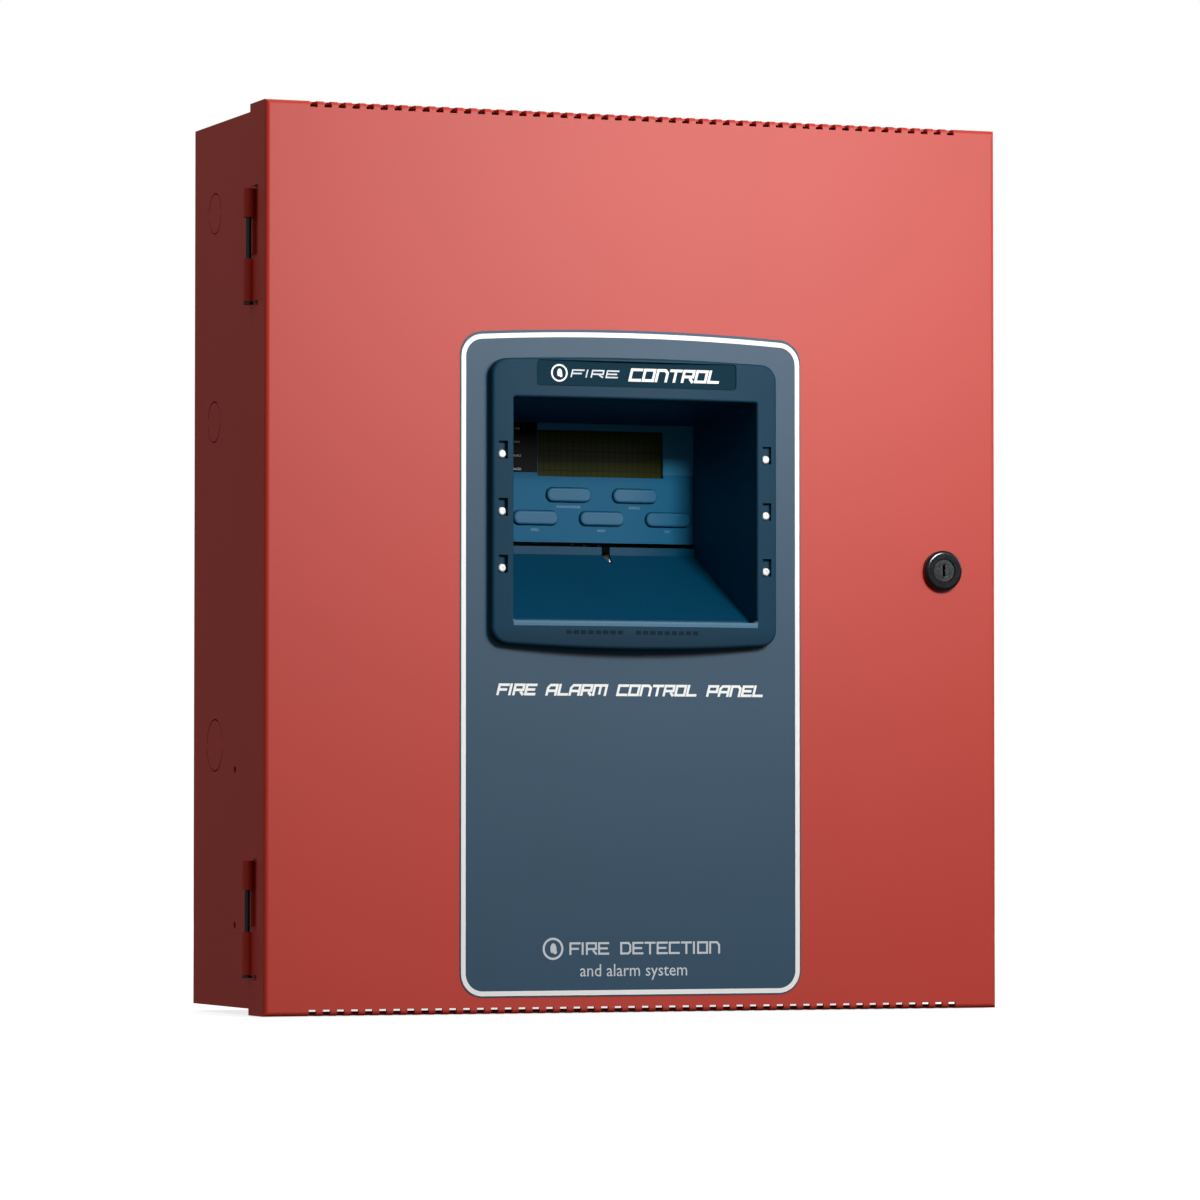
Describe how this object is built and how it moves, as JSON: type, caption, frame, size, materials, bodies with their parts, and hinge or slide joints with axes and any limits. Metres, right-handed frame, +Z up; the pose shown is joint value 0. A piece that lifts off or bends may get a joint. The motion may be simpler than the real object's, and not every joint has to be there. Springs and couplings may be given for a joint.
{
  "type": "fire alarm control panel",
  "caption": "Red wall cabinet with a vented lockable door, a recessed display window with keys behind it, a circuit board, a transformer and standby batteries inside.",
  "frame": {"origin": "centre of the cabinet's back face, on the wall", "axes": "+X to the right as seen from the front, +Y into the wall, +Z up"},
  "size_m": [0.4316, 0.145, 0.4892],
  "materials": {
    "red_paint": "fine-textured powder coat",
    "zinc_plate": "zinc plated",
    "pin_steel": "bright drawn steel",
    "chassis_steel": "galvanised",
    "brass_plate": "nickel over brass",
    "board_green": "solder mask",
    "terminal_green": "moulded",
    "screw_steel": "plated",
    "relay_black": "moulded",
    "capacitor_sleeve": "shrink sleeve",
    "heat_sink_black": "black anodised",
    "chip_black": "moulded epoxy",
    "jack_ivory": "moulded",
    "sounder_black": "moulded",
    "clip_tin": "tinned",
    "fuse_glass": "clear with metal caps",
    "header_white": "moulded nylon",
    "display_board_green": "solder mask",
    "frame_black": "painted steel frame",
    "lcd_olive": "unlit display glass",
    "mat_grey": "silicone",
    "fascia_blue": "fine-textured moulding",
    "lamp_lens": "diffused lens",
    "core_steel": "varnished laminations",
    "winding_yellow": "tape wrapped",
    "strip_black": "phenolic",
    "battery_grey": "moulded case",
    "battery_lid": "moulded lid",
    "tab_tin": "tinned",
    "wire_red": "insulation",
    "wire_black": "insulation",
    "wire_blue": "insulation",
    "wire_green": "insulation",
    "wire_white": "insulation",
    "connector_nylon": "nylon",
    "label_blue": "printed overlay with pale border",
    "bezel_blue": "fine-textured moulding",
    "plate_grey": "printed plate",
    "shroud_teal": "smooth moulding",
    "bezel_screw_white": "white head",
    "paper": "printed sheet",
    "lock_chrome": "polished",
    "lock_black": "black nickel",
    "key_grey": "moulded"
  },
  "bodies": {
    "cabinet": {"backbox_wrap": "red_paint", "backbox_top": "red_paint", "backbox_bottom": "red_paint", "lock_strike": "zinc_plate", "hinge_leaves_box": "red_paint", "hinge_pins": "pin_steel", "weld_studs": "zinc_plate", "board_chassis": "chassis_steel", "mounting_screws": "zinc_plate", "board_standoffs": "brass_plate", "main_board": "board_green", "terminal_blocks": "terminal_green", "terminal_screws": "screw_steel", "relays": "relay_black", "capacitors": "capacitor_sleeve", "heat_sink": "heat_sink_black", "ic_chips": "chip_black", "phone_jacks": "jack_ivory", "piezo_sounder": "sounder_black", "fuse_clips": "clip_tin", "fuses": "fuse_glass", "pin_headers": "header_white", "display_standoffs": "brass_plate", "display_board": "display_board_green", "lcd_frame": "frame_black", "lcd_glass": "lcd_olive", "key_dome_mat": "mat_grey", "display_fascia": "fascia_blue", "status_leds": "lamp_lens", "transformer_core": "core_steel", "transformer_winding": "winding_yellow", "transformer_bracket": "zinc_plate", "mains_terminal_strip": "strip_black", "battery_cases": "battery_grey", "battery_lids": "battery_lid", "battery_terminals": "tab_tin", "battery_wire_red": "wire_red", "battery_wire_black": "wire_black", "battery_wire_jumper": "wire_blue", "wire_connectors": "connector_nylon", "earth_wire": "wire_green", "transformer_wires": "wire_white"},
    "door": {"door_shell": "red_paint", "hinge_leaves_door": "red_paint", "door_label": "label_blue", "display_bezel": "bezel_blue", "name_plate": "plate_grey", "window_shroud": "shroud_teal", "bezel_screws": "bezel_screw_white", "instruction_sheet": "paper", "lock_body": "lock_chrome", "lock_nut": "zinc_plate"},
    "lock_core": {"lock_plug": "lock_black", "lock_cam": "zinc_plate", "cam_screw": "zinc_plate"},
    "key_acknowledge_body": {"key_acknowledge": "key_grey"},
    "key_silence_body": {"key_silence": "key_grey"},
    "key_drill_body": {"key_drill": "key_grey"},
    "key_reset_body": {"key_reset": "key_grey"},
    "key_test_body": {"key_test": "key_grey"}
  },
  "joints": [
    {"name": "door_hinge", "type": "hinge", "parent": "cabinet", "child": "door", "pos_m": [-0.2149, -0.109, 0], "axis": [0, 0, -1], "range_deg": [0, 120]},
    {"name": "lock_turn", "type": "hinge", "parent": "door", "child": "lock_core", "pos_m": [0.1805, -0.139, -0.002], "axis": [0, -1, 0], "range_deg": [0, 90]},
    {"name": "key_acknowledge_press", "type": "slide", "parent": "cabinet", "child": "key_acknowledge_body", "axis": [0, 1, 0], "range_m": [0, 0.001], "stiffness_N_per_m": 400},
    {"name": "key_silence_press", "type": "slide", "parent": "cabinet", "child": "key_silence_body", "axis": [0, 1, 0], "range_m": [0, 0.001], "stiffness_N_per_m": 400},
    {"name": "key_drill_press", "type": "slide", "parent": "cabinet", "child": "key_drill_body", "axis": [0, 1, 0], "range_m": [0, 0.001], "stiffness_N_per_m": 400},
    {"name": "key_reset_press", "type": "slide", "parent": "cabinet", "child": "key_reset_body", "axis": [0, 1, 0], "range_m": [0, 0.001], "stiffness_N_per_m": 400},
    {"name": "key_test_press", "type": "slide", "parent": "cabinet", "child": "key_test_body", "axis": [0, 1, 0], "range_m": [0, 0.001], "stiffness_N_per_m": 400}
  ]
}
